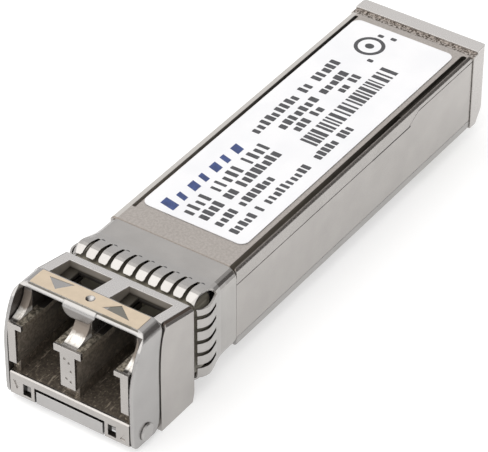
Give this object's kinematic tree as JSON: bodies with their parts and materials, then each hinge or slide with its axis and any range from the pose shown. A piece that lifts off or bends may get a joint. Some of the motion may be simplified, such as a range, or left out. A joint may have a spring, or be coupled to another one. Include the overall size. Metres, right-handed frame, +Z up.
{
  "type": "optical transceiver module",
  "caption": "Pluggable duplex fibre transceiver: die-cast body, twin connector ports, spring-finger collar, pull bail with catch, card-edge contacts at the rear.",
  "frame": {"origin": "on the flat belly, on the centre line, 30 mm behind the front sill", "axes": "front ports face -Y, the contact end faces +Y, +Z is up through the label, +X is right seen from the front"},
  "size_m": [0.0146, 0.057, 0.0117],
  "materials": {
    "zinc": "satin nickel-plated casting",
    "sheet": "satin nickel-plated sheet",
    "spring": "bright nickel-plated spring sheet",
    "coat": "matt beige paint",
    "steel": "turned",
    "label": "printed polyester label",
    "board": "solder mask",
    "gold": "gold plate",
    "chip": "moulded",
    "ceramic": "zirconia",
    "tan": "ceramic capacitor",
    "flex": "polyimide",
    "pad": "soft gap pad",
    "clamp": "moulded"
  },
  "bodies": {
    "module": {"top_casting": "zinc", "base_casting": "zinc", "bottom_cover": "sheet", "emi_collar": "spring", "label": "label", "lever_pin": "steel", "latch_spring": "spring", "circuit_board": "board", "transmitter_barrel": "steel", "transmitter_sleeve": "ceramic", "transmitter_header": "gold", "receiver_barrel": "steel", "receiver_sleeve": "ceramic", "receiver_header": "gold", "optics_clamp": "clamp", "flex_transmitter": "flex", "flex_receiver": "flex", "laser_driver": "chip", "receiver_amplifier": "chip", "controller": "chip", "memory": "chip", "inductor": "clamp", "crystal": "steel", "capacitor_left": "tan", "capacitor_right": "tan", "capacitor_rear": "tan", "thermal_pad": "pad", "contact_top_01": "gold", "contact_bottom_01": "gold", "contact_top_02": "gold", "contact_bottom_02": "gold", "contact_top_03": "gold", "contact_bottom_03": "gold", "contact_top_04": "gold", "contact_bottom_04": "gold", "contact_top_05": "gold", "contact_bottom_05": "gold", "contact_top_06": "gold", "contact_bottom_06": "gold", "contact_top_07": "gold", "contact_bottom_07": "gold", "contact_top_08": "gold", "contact_bottom_08": "gold", "contact_top_09": "gold", "contact_bottom_09": "gold", "contact_top_10": "gold", "contact_bottom_10": "gold"},
    "bail": {"bail": "sheet", "bail_colour_coat": "coat", "pivot_pin_right": "steel", "pivot_pin_left": "steel"},
    "lever": {"latch_lever": "steel"}
  },
  "joints": [
    {"name": "bail_hinge", "type": "hinge", "parent": "module", "child": "bail", "pos_m": [0, -0.02815, -0.00005], "axis": [1, 0, 0], "range_deg": [0, 90]},
    {"name": "latch_lever_rock", "type": "hinge", "parent": "module", "child": "lever", "pos_m": [0, -0.0244, 0], "axis": [1, 0, 0], "range_deg": [0, 5], "deforming": ["latch_spring"]}
  ],
  "couplings": [
    {"joint": "latch_lever_rock", "follows": "bail_hinge", "ratio": 0.055}
  ]
}
